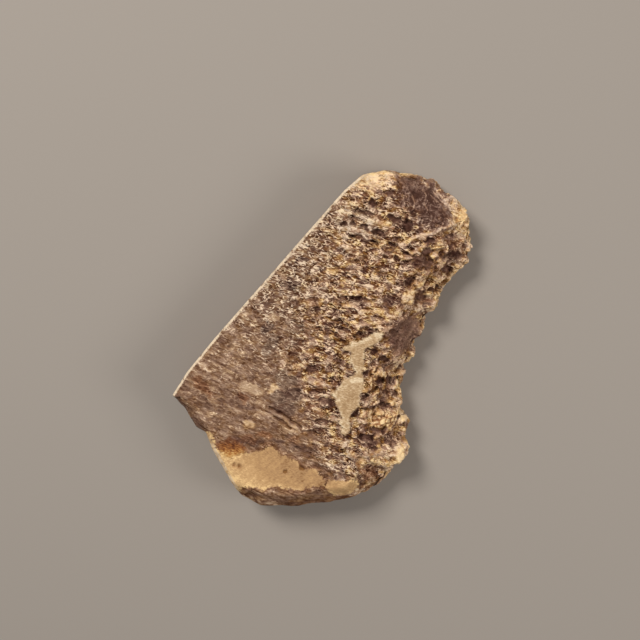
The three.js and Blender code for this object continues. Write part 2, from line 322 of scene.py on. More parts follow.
# where the tissues, minerals and breaks lie on the slice
tissue = {
    "sponge": [
        (17, 14.1), (13.8, 12.9), (10.5, 11.7), (7.1, 9.6), (3, 8.2), (-0.7, 6.3), (-4.6, 4.7),
        (-7.2, 2.4), (-8.9, -1.8), (-10.6, -5), (-12.8, -7.8), (-13, -20), (32, -20), (32, 17),
    ],
    "matrix": [
        (-22.0, 8.6), (-20.8, 7.7), (-20.2, 7.2), (-21.4, 5.1), (-21.4, 3.0), (-20.0, 2.1),
        (-19.2, 1.5), (-18.3, 0.9), (-17.5, 0.3), (-16.7, 0.4), (-16.1, 0.0), (-16.2, -0.8),
        (-16.1, -1.7), (-15.8, -2.9), (-15.4, -3.9), (-15.8, -5.1), (-15.5, -5.7), (-14.9, -6.1),
        (-14.4, -7.1), (-14.8, -8.1), (-14.9, -8.8), (-15.5, -9.4), (-16.1, -8.6), (-16.9, -7.9),
        (-18.2, -7.1), (-19.3, -5.9), (-19.5, -5.2), (-19.9, -4.4), (-20.9, -3.7), (-21.8, -3.4),
        (-22.1, -2.4), (-22.9, -1.3), (-23.8, -1.1), (-26.5, -2.0), (-26.0, 2.0), (-24.3, 5.6),
    ],
    "matrixTip": [
        (-15.0, -9.1), (-14.4, -9.3), (-13.4, -10.2), (-12.8, -11.1), (-12.0, -12.0), (-12.6, -12.8),
        (-13.2, -13.0), (-14.1, -12.9), (-15.0, -12.4), (-15.8, -11.3), (-15.9, -10.2), (-15.5, -9.6),
    ],
    "matrixPits": [(-21.5, 1.8), (-21.2, 1.2), (-17.6, -4.0), (-15.8, -5.2)],
    "vein": [
        (5.6, -1.0), (5.1, -0.5), (4.2, -0.1), (3.1, 0.3), (2.4, 0.6), (1.7, 1.1), (1.0, 1.3),
        (0.3, 1.5), (0.3, 1.0), (0.7, 0.4), (0.2, 0.0), (-0.4, -0.4), (-0.6, -1.2), (-0.9, -1.9),
        (-1.4, -2.1), (-2.2, -1.7), (-2.8, -1.4), (-3.6, -1.5), (-4.6, -1.7), (-5.3, -1.4),
        (-5.6, -1.9), (-5.4, -2.6), (-5.9, -2.6), (-6.2, -3.3), (-6.6, -4.1), (-7.0, -4.7),
        (-7.7, -4.9), (-7.8, -5.6), (-8.6, -5.9), (-8.3, -6.6), (-7.5, -6.8), (-6.8, -6.3),
        (-6.3, -5.7), (-5.4, -5.2), (-4.5, -5.4), (-3.9, -5.4), (-3.5, -4.8), (-2.9, -4.5),
        (-2.3, -4.2), (-1.6, -3.9), (-1.0, -3.4), (-0.6, -3.0), (-0.1, -2.4), (0.7, -2.0), (1.5, -1.5),
        (2.0, -0.8), (2.6, -0.9), (3.3, -1.3), (4.1, -1.4), (4.9, -1.5),
    ],
    "veinGlow": [
        (-1.6, -2.8, 1.2, 0.5, -40, 1.0), (3.1, 0.1, 1.3, 0.4, -25, 0.9),
        (1.7, 0.7, 0.8, 0.4, -35, 0.7), (-7.7, -6.0, 0.9, 0.7, 10, 0.4),
        (-5.1, -1.8, 0.7, 0.3, -40, 0.7), (4.9, -0.9, 0.7, 0.4, -30, 0.5),
        (-3.4, -1.5, 0.4, 0.8, -80, 0.5),
    ],
    "stain": [
        (-21.1, 5.1), (-19.8, 4.8), (-18.6, 3.4), (-19.0, 2.3), (-20.1, 2.0), (-21.5, 3.0),
        (-21.8, 4.0),
    ],
    # fibrous tissue, painted dark partly as a cast shadow over it
    "fibres": [
        (21.6, 10.8), (24.9, 7.0), (24.2, 4.6), (23.5, 3.5), (22.0, 2.2), (20.1, 2.5), (18.6, 4.2),
        (18.8, 5.5), (19.6, 6.9), (20.0, 8.8),
    ],
    "darkBreak": [
        (6.5, -1.1), (8.9, -1.9), (9.4, -4.2), (8.2, -5.4), (5.6, -6.1), (4.2, -4.5), (4.8, -2.3),
    ],
    # sandy crust on the top bevel, painted bright partly as a highlight where the bevel faces the light
    "sandAndLitCrown": [
        (19.6, 16.9), (21.7, 14.6), (23.1, 12.4), (21.9, 11.7), (20.2, 11.6), (18.4, 12.3),
        (17.3, 14.2), (16.6, 15.3), (15.7, 16.4),
    ],
    # golden mineral at the upper end, painted bright partly as rim light on the edge
    "goldAndLitRim": [
        (25.4, 4.1), (25.6, 2.1), (24.6, 0.1), (22.5, -1.6), (21.9, 0.4), (22.8, 2.5), (23.9, 3.7),
    ],
    # x, y, half length, half width, turn, strength
    "golden": [
        (-3.7, -9.3, 2.0, 1.5, -40, 1.0), (-6.3, -13.8, 1.9, 1.2, 30, 0.45),
        (-0.4, -4.6, 2.2, 0.7, 40, 0.8), (11.3, -0.8, 1.6, 1.1, -30, 0.5),
        (-4.6, -7.0, 1.1, 0.8, -40, 0.7), (7.0, 9.3, 1.0, 0.5, -65, 0.8),
        (1.0, 1.4, 1.2, 0.6, -40, 0.7), (-12.5, -0.2, 1.6, 0.6, -80, 0.6),
        (-10.0, 4.8, 0.9, 0.9, -50, 1.0), (-15.8, 4.1, 1.0, 0.7, -75, 0.9),
    ],
    "grooves": [
        [(-12.2, 3.4), (-11.9, 2.1), (-11.8, 0.8), (-11.7, -0.4), (-11.5, -1.5)],
        [(-12.8, 2.1), (-12.6, 0.9), (-12.6, -0.5)],
    ],
    # pale crests that stand between the larger pores: paleness, line
    "ridges": [
        (0.8, [(14.4, 12.6), (15.0, 11.1), (15.5, 9.8), (16.4, 8.2), (16.6, 7.1)]),
        (0.8, [(11.9, 12.5), (12.8, 11.2), (13.8, 9.3)]),
        (1.2, [(15.5, 4.9), (16.9, 4.5), (18.2, 3.8), (19.5, 2.9), (20.5, 2.4)]),
        (0.9, [(15.7, 3.2), (17.0, 2.8), (18.6, 2.2)]),
        (0.9, [(4.7, 5.1), (5.5, 4.0), (5.8, 2.9), (6.6, 1.8), (7.8, 0.7)]),
        (0.9, [(3.5, 3.7), (3.7, 2.8), (3.9, 1.9), (5.4, 0.8), (7.0, -0.6)]),
        (0.5, [(-12.4, 2.7), (-12.2, 1.4), (-12.1, -0.1), (-12.0, -1.6)]),
    ],
    "hairs": [
        [(23.5, 6.3), (23.5, 5.1), (23.4, 3.8), (23.3, 2.8)],
        [(23.9, 6.0), (23.9, 4.6), (23.7, 3.2)],
        [(22.9, 6.2), (23.0, 4.9), (22.9, 3.6)],
        [(22.7, 7.5), (22.4, 6.6), (21.6, 6.2), (21.3, 5.3)],
        [(21.3, 8.0), (20.9, 7.2), (20.1, 6.8)],
    ],
    "pitReach": 0.4,
    "stainHeart": (-20.3, 3.5),
    "fragmentSize": (0.74, 0.46),
    "grainSize": 0.68,
    "wallDrift": 1.6,  # how far the zones wander on their way down the walls
    "crumbleReach": 0.14,
    # where a band starts and where it is full, along the sawn edge and across it
    "alongBands": {
        "sawnEnd": (-17.0, -19.5),
        "lowBevel": (-12, -15),
        "lamellae": (-7, -13),
        "greyEnd": (-9, -15),
        "coarseGrain": (-16, 6),
        "matrixLowEnd": (-18.5, -22.5),
        "matrixBesideBone": (-18.0, -15.5),
    },
    "acrossBands": {"sawnEnd": (5.0, 7.5), "lowBevel": (3, 0), "matrixLowSide": (-8.5, -11.5)},
    # towards the light, and how far against it the painted shade and the painted lip highlight of a hollow
    # lie
    "litFrom": (0.75, 0.66, 0.0),
    "shadeShift": -0.25,
    "lipShift": 0.4,
    # degrees from the sawn edge
    "sawTurn": -76,
    "scoreTurn": -15,
    "scratchTurn": -9,
    "poreTurn": -64,
    "fibreTurn": 26,
    # x, y, half length, half width, turn, depth
    "hollows": [
        (17.2, 11.3, 0.9, 0.6, -75, 1.0), (19.5, 10.5, 0.8, 0.5, -45, 0.6),
        (15.7, 11.0, 1.7, 0.4, -65, 0.7), (17.4, 8.4, 0.7, 0.4, -45, 0.9),
        (17.7, 7.3, 0.9, 0.4, -55, 1.0), (18.0, 5.8, 0.7, 0.9, -50, 1.1),
        (19.6, 6.3, 0.5, 0.4, -30, 0.5), (12.8, 12.2, 0.6, 0.4, -50, 0.8),
        (13.5, 11.3, 0.5, 0.4, -50, 0.8), (14.2, 10.2, 0.6, 0.4, -60, 0.8),
        (14.1, 9.4, 0.3, 0.3, -50, 0.7), (12.2, 10.5, 0.7, 0.3, -70, 0.8),
        (14.8, 8.0, 1.0, 0.6, -50, 1.1), (13.5, 7.8, 0.6, 0.3, -60, 0.9),
        (15.8, 6.0, 0.8, 0.3, -55, 0.8), (14.8, 5.7, 0.7, 0.4, -70, 0.9),
        (18.2, 2.6, 1.0, 0.5, -35, 0.8), (17.1, 1.7, 0.9, 0.7, -30, 0.6),
        (15.3, 3.7, 0.7, 0.4, -70, 0.8), (2.0, 7.3, 0.6, 0.4, -65, 0.7), (2.6, 4.3, 0.5, 0.4, -50, 0.6),
        (2.3, 2.8, 0.7, 0.4, -70, 0.7), (6.5, 4.4, 1.5, 0.4, -55, 0.9), (8.8, 1.0, 1.1, 1.0, -50, 0.5),
        (7.9, 2.6, 0.3, 0.3, -50, 0.6), (6.5, 0.7, 0.7, 0.3, -50, 0.6), (1.1, 1.9, 0.7, 0.4, -65, 0.7),
        (3.1, 1.2, 0.9, 0.4, -30, 0.8), (11.4, 5.1, 0.7, 0.3, -40, 0.5),
        (10.9, 4.6, 0.7, 0.3, -60, 0.5), (13.9, 4.2, 0.3, 0.5, -30, 0.7),
        (12.7, 0.8, 0.7, 0.9, -85, 1.1), (13.2, 5.1, 0.5, 0.3, -50, 0.5),
        (0.7, 10.6, 0.5, 0.4, -50, 0.3), (-4.8, 2.7, 0.9, 0.7, -50, 0.6),
        (-2.0, 2.6, 0.7, 0.5, -50, 0.4), (0.1, 0.8, 0.4, 0.3, -70, 0.6),
        (-1.5, 0.8, 0.7, 0.4, -65, 0.6), (-1.2, -0.6, 0.7, 0.5, 10, 0.7),
        (-3.5, 0.8, 0.7, 0.3, -50, 0.5), (-2.2, -0.6, 0.4, 0.3, -50, 0.5),
        (-6.3, -2.4, 0.5, 0.8, -20, 0.6), (-6.8, -1.3, 1.0, 0.6, -64, 0.6),
        (-8.8, -3.4, 1.5, 0.4, -60, 0.7), (-5.4, -5.8, 0.4, 0.7, -70, 1.0),
        (-3.6, -6.7, 1.2, 0.3, -45, 0.8), (-11.2, -3.2, 1.2, 0.5, -55, 0.4),
        (-13.7, -4.1, 1.7, 0.5, -60, 0.3), (-14.0, -8.2, 0.7, 0.9, -30, 0.4),
        (-8.3, -7.1, 0.7, 0.5, -50, 0.8), (-6.8, -9.0, 1.2, 0.5, -55, 0.9),
        (-4.8, -10.2, 0.6, 0.6, -50, 0.8), (-7.4, -10.9, 0.6, 0.5, -50, 0.6),
        (15.7, 1.1, 1.8, 1.1, -65, 0.55), (19.2, -1.5, 1.5, 0.7, -55, 0.6),
        (17.0, -2.3, 0.7, 0.8, -20, 0.8), (14.0, -2.5, 0.9, 0.4, -45, 0.8),
        (12.1, -1.9, 0.8, 0.7, -50, 0.6), (20.7, 0.8, 0.8, 0.4, -60, 0.5),
        (2.6, -3.6, 0.7, 0.6, -50, 1.0), (2.7, -2.0, 0.6, 0.7, -50, 0.8),
        (2.3, -1.1, 0.4, 0.3, -50, 0.8), (-0.1, -3.4, 0.6, 0.7, -30, 0.9),
        (0.1, -5.6, 0.7, 0.5, -50, 0.9), (-1.3, -5.4, 0.7, 0.4, -40, 1.0),
        (-2.7, -5.1, 0.6, 0.4, -30, 1.0), (-5.5, -9.3, 1.1, 0.5, -60, 0.7),
        (-2.1, -8.0, 0.6, 0.4, -80, 0.8), (-0.7, -7.1, 0.4, 0.4, -50, 0.7),
        (0.9, -6.4, 0.5, 0.7, -50, 0.6), (-0.3, -8.2, 0.4, 0.5, -50, 0.6),
        (-1.0, -2.1, 0.4, 0.2, -40, 0.6), (0.9, 1.9, 0.7, 0.3, -70, 0.5),
        (1.7, -6.2, 0.4, 0.5, -50, 0.4), (8.5, 5.7, 0.8, 0.3, -60, 0.5), (7.3, 7.0, 0.7, 0.3, -60, 0.4),
        (12.6, 3.2, 0.7, 0.3, -65, 0.5), (11.6, 7.0, 0.7, 0.3, -65, 0.4),
        (9.8, 8.2, 0.6, 0.3, -65, 0.4), (2.8, -0.5, 0.5, 0.3, -50, 0.6),
    ],
    # x, y, half length, half width, turn, paleness
    "flakes": [
        (16.5, 10.5, 0.6, 0.4, -40, 0.9), (14.3, 6.8, 0.6, 0.4, -10, 0.8),
        (13.0, 6.3, 0.8, 0.5, -35, 0.6), (18.6, 7.9, 0.5, 0.6, -50, 0.5),
        (10.8, 9.8, 0.9, 0.5, -50, 0.4), (10.2, 12.4, 0.7, 0.2, -65, 0.5),
        (7.0, 9.4, 0.9, 0.4, -65, 0.7), (7.2, 4.9, 0.7, 0.3, -30, 0.7), (5.7, 4.3, 0.7, 0.3, -50, 0.7),
        (7.2, 2.6, 1.2, 0.3, -50, 0.6), (5.1, 1.1, 1.3, 0.3, -45, 0.8), (9.4, 2.9, 0.5, 0.4, -50, 0.9),
        (1.7, 6.5, 0.4, 0.3, -80, 0.6), (7.5, -0.2, 0.4, 0.5, -50, 0.6),
        (-0.7, 8.6, 0.7, 0.3, -65, 0.5), (-2.6, 9.1, 0.4, 0.4, -50, 0.4),
        (1.6, 3.0, 1.1, 0.3, -80, 0.7), (3.8, 2.9, 0.9, 0.2, -80, 0.6), (8.4, 4.5, 1.1, 0.3, -35, 0.6),
        (-5.5, 1.1, 1.6, 0.5, -65, 1.0), (-4.9, -0.0, 0.6, 0.3, -65, 0.5),
        (-7.1, 2.7, 0.5, 0.3, -40, 0.6), (-3.7, 4.4, 1.0, 0.5, -30, 0.5),
        (0.5, 3.5, 0.7, 0.4, -65, 0.6), (-1.9, 4.9, 0.8, 0.5, -50, 0.4),
        (-7.7, -3.8, 0.6, 0.4, -40, 0.7), (-8.5, -1.9, 0.9, 0.7, -80, 0.5),
        (-2.3, 1.7, 0.9, 0.3, -25, 0.5), (-5.7, 4.3, 0.9, 0.5, -80, 0.7),
        (-6.5, 6.0, 0.5, 0.6, -50, 0.5), (-15.8, 4.1, 0.9, 0.6, -75, 1.0),
        (-13.3, 3.2, 1.3, 0.4, -70, 0.5), (-12.0, 0.0, 1.7, 0.3, -80, 0.6),
        (-12.7, -0.4, 1.1, 0.5, -80, 0.5), (-12.7, 4.6, 0.9, 0.7, -70, 0.3),
        (-9.3, -7.4, 0.6, 0.6, -50, 1.2), (-9.9, -9.1, 1.0, 0.6, -80, 0.9),
        (-8.5, -10.4, 0.6, 0.7, -50, 0.8), (-9.9, -11.0, 0.6, 0.5, -50, 0.5),
        (-6.0, -13.9, 1.3, 0.8, 30, 1.5), (-7.1, -14.3, 0.8, 0.5, -30, 1.0),
        (-7.9, -13.5, 0.8, 0.7, -30, 0.7), (-14.5, -5.7, 0.8, 0.4, -40, 0.5),
        (-11.7, -4.4, 1.2, 0.3, -60, 0.4), (11.1, -0.5, 1.3, 0.9, -20, 1.3),
        (13.3, -0.6, 0.9, 0.6, -80, 0.8), (10.2, -1.4, 0.8, 0.5, -50, 0.6),
        (12.5, -3.5, 0.4, 0.6, -60, 0.9), (17.2, -0.8, 0.7, 0.9, -50, 0.6),
        (21.2, -2.0, 0.4, 0.8, -50, 0.8), (1.1, -4.6, 0.7, 0.8, -70, 1.1),
        (1.1, -5.5, 0.4, 0.3, -50, 0.6), (2.6, -7.1, 0.4, 0.7, -50, 0.8),
        (-0.7, -4.3, 0.5, 0.6, -30, 0.8), (-1.5, -8.5, 0.4, 0.5, -50, 1.0),
        (-3.3, -5.9, 0.6, 0.3, -25, 0.9), (5.3, -6.4, 0.3, 0.4, -50, 0.8),
        (-2.0, -4.5, 0.6, 0.4, -35, 0.8), (-4.7, -6.6, 0.6, 0.5, -50, 0.9),
        (-5.2, -7.4, 0.7, 0.4, -40, 0.8), (-4.1, -9.1, 0.9, 0.7, -30, 1.1),
        (-3.4, -8.1, 0.6, 0.4, -20, 0.9), (-3.0, -9.9, 0.7, 0.7, -50, 0.9),
        (-4.2, -10.4, 0.6, 0.6, -50, 0.9), (-2.4, -11.3, 0.7, 0.6, -50, 1.1),
        (-3.6, -13.0, 0.3, 0.4, -50, 0.7), (3.4, -4.6, 0.4, 0.5, -50, 0.7),
        (-7.3, -7.4, 0.4, 0.5, -50, 0.7), (-7.7, -4.1, 0.6, 0.5, -30, 0.7),
        (-2.3, -7.1, 0.4, 0.4, -50, 0.6), (19.2, 1.3, 0.5, 0.5, -50, 0.5),
        (23.9, 1.4, 0.3, 0.9, -20, 0.7), (16.5, 4.4, 0.9, 0.4, -15, 0.9),
        (-1.0, -9.5, 0.4, 0.4, -50, 0.6), (0.4, -7.6, 0.4, 0.4, -50, 0.5),
        (-4.8, 14.2, 0.7, 0.4, -10, 0.7), (-14.0, 12.9, 0.5, 0.3, -80, 0.5),
        (2.3, 13.6, 0.7, 0.4, -5, 0.6), (-10.0, 4.8, 0.7, 0.8, -50, 1.0),
        (14.9, 3.4, 1.1, 0.4, -60, 0.9), (6.1, -1.1, 0.8, 0.4, -30, 0.8),
    ],
    # x, y, reach, height
    "lumps": [(-5.6, -14.0, 1.7, 0.6), (-8.0, -13.0, 1.6, 0.6), (-3.4, -9.6, 1.8, 0.8)],
    # x, y, half length, half width, turn, strength: smooth tan fillings, then tints of the dense bone
    "blotches": [
        (-12.0, 7.1, 2.1, 0.9, -70, 1.0), (-2.6, 11.0, 1.0, 0.5, -60, 0.9),
        (-2.6, 9.1, 0.4, 0.4, -50, 0.5), (10.8, 9.8, 0.9, 0.6, -50, 0.5),
    ],
    "pale": [
        (-14.0, 13.8, 1.6, 0.8, -85, 1.0), (-11.4, 12.0, 1.2, 0.7, -70, 0.8),
        (-11.7, 14.0, 0.9, 0.7, -5, 0.7), (-4.9, 14.1, 1.1, 1.1, -50, 0.8),
        (-7.6, 14.1, 0.9, 0.7, -10, 0.5), (0.2, 14.8, 1.1, 0.8, 0, 1.0),
        (10.1, 14.9, 2.1, 0.9, -5, 1.0), (14.4, 14.7, 1.6, 0.8, -5, 1.0),
        (10.9, 9.9, 1.3, 0.9, -50, 0.7), (6.1, 14.7, 2.4, 1.2, 0, 0.9),
        (17.8, 13.9, 2.1, 0.9, -40, 0.8), (-8.4, 12.3, 1.3, 0.8, -20, 0.4),
        (7.2, 11.8, 1.6, 1.1, -20, 0.7), (13.9, 11.3, 4.2, 2.6, -70, 0.7),
        (15.2, 5.5, 2.6, 1.3, -30, 0.5), (10.9, 7.9, 1.3, 0.8, -50, 0.8),
        (-12.2, -7.8, 1.5, 1.0, -50, 0.6),
    ],
    "dusky": [
        (-10.9, 2.0, 2.0, 1.2, -80, 1.0), (-13.6, 7.0, 1.1, 0.6, -90, 0.9),
        (-17.7, 2.6, 2.6, 0.6, -55, 1.0), (-13.7, -3.7, 2.4, 0.8, -70, 0.9),
        (-16.0, 12.3, 1.8, 0.7, 90, 0.7), (-15.7, 7.9, 2.1, 0.5, -85, 0.6),
        (-9.3, 7.4, 1.2, 0.8, -30, 0.5), (-3.1, 6.0, 1.8, 1.1, -40, 0.5),
        (-7.0, -1.8, 1.3, 0.9, -80, 1.7), (-5.5, 8.7, 1.8, 0.9, 10, 0.5),
        (0.1, 10.5, 1.6, 0.9, -10, 0.4), (-17.4, 10.2, 1.8, 0.5, -85, 0.6),
        (15.7, 1.5, 1.9, 1.2, -60, 1.0), (17.9, 6.2, 1.4, 1.1, -50, 1.0),
        (-7.1, -9.4, 1.9, 1.1, -60, 1.8), (-14.9, -0.5, 1.2, 0.6, -75, 0.9),
        (20.2, -0.5, 1.2, 0.9, -50, 0.7), (-14.2, 6.1, 1.4, 0.7, -80, 0.9),
        (-8.8, -2.9, 2.4, 1.4, -60, 0.6), (-8.3, 1.7, 1.5, 0.9, -60, 1.2),
        (-4.4, 10.7, 1.3, 0.8, 0, 1.2), (-5.2, -11.8, 1.2, 0.8, 40, 1.0),
        (6.2, 4.8, 0.9, 0.6, -60, 1.0), (9.3, 1.0, 1.1, 0.9, -50, 1.2), (2.4, 3.0, 1.0, 0.6, -60, 0.8),
        (-13.3, -4.3, 1.5, 0.6, -75, 0.9), (2.5, -5.1, 1.2, 0.9, -60, 0.8),
        (-6.8, -0.4, 1.2, 0.9, -60, 1.3), (5.4, 13.3, 1.2, 0.7, -20, 1.8),
        (14.0, 2.2, 1.2, 0.6, -60, 1.4), (5.8, 3.5, 0.8, 0.7, -50, 1.3), (4.3, 3.2, 0.7, 0.6, -50, 1.2),
        (-1.1, 2.8, 0.9, 0.8, -60, 1.5), (-9.9, -3.8, 1.9, 1.0, -60, 0.9),
        (6.9, 5.8, 0.7, 0.6, -50, 1.2), (-1.8, 13.1, 2.0, 0.6, 41, 0.8),
        (11.2, 1.4, 1.0, 0.7, -50, 1.3), (1.0, -6.9, 0.7, 0.7, 0, 1.3),
        (12.1, -3.1, 0.8, 0.7, -50, 1.2), (1.3, -2.8, 0.6, 0.8, -50, 1.3),
        (-2.2, -8.8, 1.0, 0.5, -50, 1.2), (-10.0, -12.9, 1.5, 1.1, 60, 1.0),
        (-3.2, -5.7, 1.0, 0.7, -50, 1.0), (18.9, -1.1, 1.7, 1.0, -50, 1.1),
        (17.6, 6.3, 1.0, 0.8, -50, 1.2), (-20.4, 12.6, 1.8, 0.7, 85, 0.9),
        (-20.9, 9.2, 1.6, 0.6, 80, 0.9), (2.3, 12.4, 1.6, 1.0, -40, 1.2),
        (-9.2, 2.6, 1.6, 1.2, -55, 1.8),
    ],
    "grey": [
        (2.2, 12.2, 2.4, 1.4, 31, 0.6), (7.5, 12.5, 1.4, 1.1, 31, 0.4), (-7.7, 4.1, 1.3, 0.9, -69, 1.0),
        (-9.0, 1.8, 1.8, 1.4, 21, 0.8), (-10.8, 3.4, 1.1, 0.9, -49, 0.9),
        (-9.3, -7.4, 0.7, 0.6, 41, 0.7), (-9.9, -9.1, 0.9, 0.7, -79, 0.8),
        (10.3, 9.7, 1.4, 0.9, -49, 0.6), (-17.5, 10.0, 2.2, 1.2, -70, 0.6),
        (-2.0, 8.0, 2.6, 1.8, 31, 0.6), (-8.0, 4.4, 2.0, 1.6, -50, 1.0), (-5.8, 9.0, 2.0, 1.1, 10, 1.0),
        (13.9, 11.3, 4.2, 2.6, -70, 0.6), (-4.4, 10.7, 1.5, 0.9, 0, 0.9),
        (-10.5, 3.4, 1.4, 1.1, -60, 1.0), (-10.7, 1.2, 1.4, 0.9, -60, 0.9),
    ],
    "russet": [
        (-16.1, 12.0, 2.1, 1.0, 86, 0.9), (-13.7, 7.0, 1.0, 0.6, 61, 0.8),
        (-15.6, 1.4, 1.5, 0.6, -59, 1.0), (-13.4, -1.8, 1.1, 0.6, -49, 0.6),
        (-10.8, -13.2, 1.7, 1.2, 71, 0.9), (-19.6, 4.4, 1.4, 0.6, -49, 1.0),
        (-17.4, 2.6, 1.4, 0.7, -55, 0.7), (20.5, -0.8, 1.6, 1.0, 31, 0.5),
        (6.7, -1.6, 0.8, 0.6, -49, 0.8),
    ],
}

# noise over the slice: size of its lumps in millimetres, seed
noiseLayers = {
    "wanderAlong": (1.1, 3.1),
    "wanderAcross": (1.1, 7.7),
    "fineAlong": (0.42, 1.3),
    "fineAcross": (0.42, 5.9),
    "wallWander": (2.2, 71.0),
    "crumble": (0.2, 9.0),
    "tear": (0.55, 91.0),
    "fineTear": (0.3, 93.0),
    "strutShare": (2.1, 5.0),
    "poreDepth": (1.5, 6.0),
    "clusters": (2.2, 33.0),
    "grainGaps": (0.9, 35.0),
    "grit": (0.27, 11.0),
    "lumps": (2.7, 21.0),
    "smallLumps": (1.25, 23.0),
    "chips": (0.8, 41.0),
    "patch": (1.6, 25.0),
    "smallPatch": (0.8, 27.0),
    "warmth": (1.15, 61.0),
    "fineWarmth": (0.55, 65.0),
    "redness": (1.3, 67.0),
    "fineRedness": (0.6, 69.0),
    "veinEdge": (1.4, 81.0),
    "matrixEdge": (0.9, 83.0),
}
# long noise: turn, length and width of its streaks, seed
streakLayers = {
    "longWave": ("poreTurn", 2.8, 1.0, 2.0),
    "shortWave": ("poreTurn", 1.0, 0.5, 4.0),
    "strands": ("fibreTurn", 2.2, 0.42, 13.0),
    "sawStreak": ("sawTurn", 2.4, 0.34, 17.0),
    "mottle": ("sawTurn", 0.5, 0.3, 19.0),
    "scratch": ("scratchTurn", 2.6, 0.3, 29.0),
}
# how far the wander and the fine wander bend what is laid out with each, in millimetres
bends = {
    "ragged": (0.16, 0.10),
    "drifted": (0.22, 0.14),
    "cloudy": (0.6, 0.2),
    "sponge": (1.4, 0.0),
    "struts": (0.3, 0.1),
    "grains": (0.35, 0.12),
    "strands": (0.35, 0.0),
    "hairs": (0.05, 0.0),
    "sawMarks": (0.2, 0.0),
}
# outlines of a zone, millimetres inside them where it starts and where it is full, and how much
# crumbs and tears fray its edge
zoneEdges = {
    "matrix": (["matrix", "matrixTip"], -0.08, 0.12, 2.4, 0.28),
    "matrixHeart": (["matrix", "matrixTip"], 0.0, 0.55, 2.4, 0.28),
    "matrixHalo": (["matrix"], -2.4, -0.3, 0.0, 0.0),
    "matrixRust": (["matrix"], -0.8, -0.1, 0.0, 0.0),
    "vein": (["vein"], -0.06, 0.12, 1.6, 0.0),
    "veinHeart": (["vein"], 0.1, 0.5, 1.0, 0.0),
    "stain": (["stain"], -0.9, 0.5, 2.0, 0.0),
    "sponge": (["sponge"], -4.5, 2.5, 0.0, 0.0),
    "fibres": (["fibres"], -1.5, 1.5, 0.0, 2.2),
    "fibreBed": (["fibres"], -1.2, 0.5, 0.0, 1.6),
    "darkBreak": (["darkBreak"], -0.6, 0.7, 2.0, 0.0),
    "sandAndLitCrown": (["sandAndLitCrown"], -1.0, 0.6, 0.0, 1.6),
    "goldAndLitRim": (["goldAndLitRim"], -0.8, 0.3, 0.0, 1.2),
}
points, face = skin.points, skin.onFace
alongSaw, acrossSaw, height = points.T


def layer(name):
    return noiseAt(points, *noiseLayers[name])


def streaks(name, spots):
    turn, along, across, seed = streakLayers[name]
    return noiseAt(stretched(spots, tissue[turn], along, across), 1.0, seed)


def bent(name):
    coarse, fine = bends[name]
    return points + coarse * wander + fine * fineWander


def zone(name, spots):
    outlines, start, full, crumbs, tears = zoneEdges[name]
    depth = strongest(*(insideBy(spots, tissue[outline]) for outline in outlines))
    return blend(start, full, depth + (crumbs * crumble + tears * torn))


def ovals(spots, name, rough=0.0, soft=0.7):
    strength = np.zeros(len(spots))
    for x, y, longHalf, wideHalf, turn, amount in tissue[name]:
        near = stretched(spots - (x, y, 0), turn, longHalf, wideHalf)
        bulge = unit(1 - near[:, 0] ** 2 - near[:, 1] ** 2 + rough)
        strength = strongest(strength, blend(0.0, soft, bulge) * amount)
    return strength


def nearLine(spots, line, core, reach):
    return 1 - blend(core, reach, lineGap(spots, line))


def alongBand(name):
    return blend(*tissue["alongBands"][name], alongSaw)


def acrossBand(name):
    return blend(*tissue["acrossBands"][name], acrossSaw)


upper = strongest(face, blend(1.0, 3.0, height) * (1 - skin.onBack))  # the face and the upper walls
shown = 1 - blend(0.3, 1.6, skin.belowRim)  # the face and just below its rim
level = np.zeros(len(points))
wander = np.column_stack([layer("wanderAlong"), layer("wanderAcross"), level])
fineWander = np.column_stack([layer("fineAlong"), layer("fineAcross"), level])
wallWander = np.column_stack([layer("wallWander"), level, level])
ragged, cloudy, drift = bent("ragged"), bent("cloudy"), bent("struts")
drifted = bent("drifted") + tissue["wallDrift"] * (1 - shown)[:, None] * wallWander
crumble = tissue["crumbleReach"] * layer("crumble")
torn = 0.7 * layer("tear") + 0.5 * layer("fineTear")

# how much of each tissue, mineral or tint lies at a point, 0 to 1
matrix = zone("matrix", drifted) * upper
vein = zone("vein", ragged) * face
stain = zone("stain", cloudy) * upper
halo = zone("matrixHalo", points) * face
sponge = zone("sponge", bent("sponge"))
fibres = zone("fibres", cloudy) * shown
dark = zone("darkBreak", cloudy) * shown
sandAndLitCrown = zone("sandAndLitCrown", cloudy) * shown * (1 - 0.7 * zone("fibreBed", cloudy))
goldAndLitRim = zone("goldAndLitRim", cloudy) * shown
blotch = ovals(drifted, "blotches", 0.6 * torn, 0.4) * face
filled = strongest(matrix, vein, blotch)
pale, dusky, grey, russet, golden = (
    ovals(cloudy, tint) * shown for tint in ("pale", "dusky", "grey", "russet", "golden")
)
russet = strongest(russet, 0.6 * zone("matrixRust", drifted)) * upper
goldenCover = unit(golden)
flake = ovals(ragged, "flakes", torn) * shown
for paleness, line in tissue["ridges"]:
    flake = strongest(flake, paleness * nearLine(ragged, line, 0.08, 0.38))
flakeCover = unit(flake)
# painted shade and highlight: a hollow is painted darkest on the side that its own edge shades, and its
# far lip, facing the light, is painted pale
litFrom = np.array(tissue["litFrom"])
hollow, shadeSide, litLip = (
    ovals(ragged + shift * litFrom, "hollows", torn + 0.1, 0.6) * face * (1 - vein)
    for shift in (0.0, tissue["shadeShift"], tissue["lipShift"])
)
hollowShadeAndTone = blend(0.05, 0.75, hollow) * noLess(0.35, blend(0.1, 0.6, shadeSide))
paintedLipHighlight = unit(litLip - 1.5 * hollow)
broken = unit(skin.raw * (1 - skin.flat) ** 0.6) * (1 - skin.onBack) * blend(0.0, 0.7, height)
openFace = sponge * face * (1 - filled)
dense = face * (1 - filled) * (1 - openFace)
onFlank = blend(0.05, 0.5, broken) * (1 - alongBand("sawnEnd") * acrossBand("sawnEnd"))
lowerBand = alongBand("lowBevel") * acrossBand("lowBevel") * (1 - skin.flat)
lamella = alongBand("lamellae")  # the layered bone of the low end

